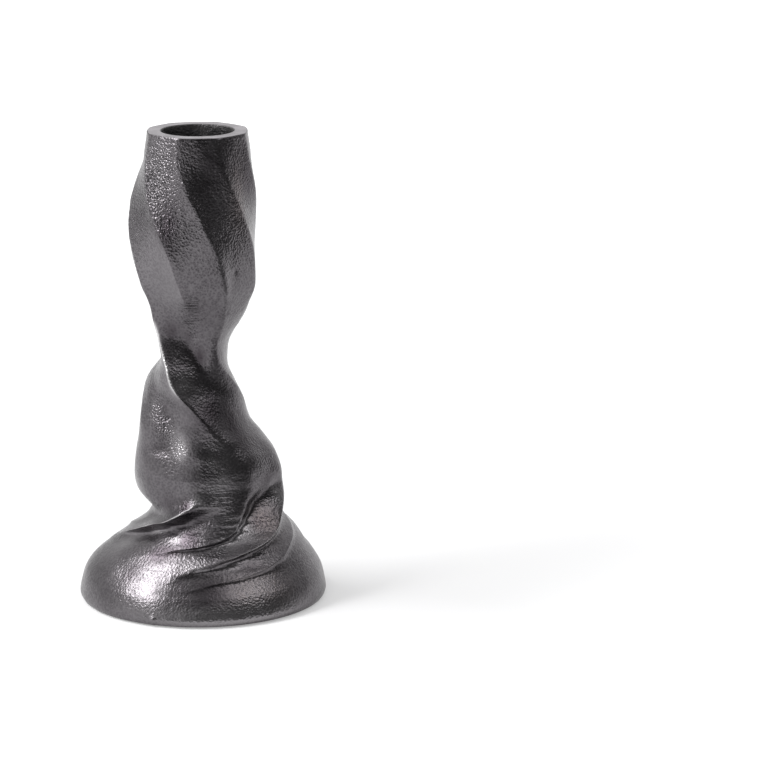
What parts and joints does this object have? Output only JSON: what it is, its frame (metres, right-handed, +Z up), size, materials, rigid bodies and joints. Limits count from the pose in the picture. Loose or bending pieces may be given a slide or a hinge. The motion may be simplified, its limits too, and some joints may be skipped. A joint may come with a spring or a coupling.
{
  "type": "spiral candle holder",
  "caption": "Twisted cast-metal candle holder: spiral ridges run from a round taper-candle socket over a narrow waist into a flared, folded foot on felt pads.",
  "frame": {"origin": "on the table under the middle of the foot, which is on the candle socket's axis", "axes": "+Z up along the candle socket's axis; -Y is the side the picture shows, +X its right"},
  "size_m": [0.0788, 0.0788, 0.15],
  "materials": {
    "cast_metal": "blackened, satin, pebbled as-cast skin with a lighter ground rim",
    "felt": "dense dark felt"
  },
  "bodies": {
    "root": {"spiral_casting": "cast_metal", "felt_pad_front_left": "felt", "felt_pad_front_right": "felt", "felt_pad_back_left": "felt", "felt_pad_back_right": "felt"}
  },
  "joints": []
}
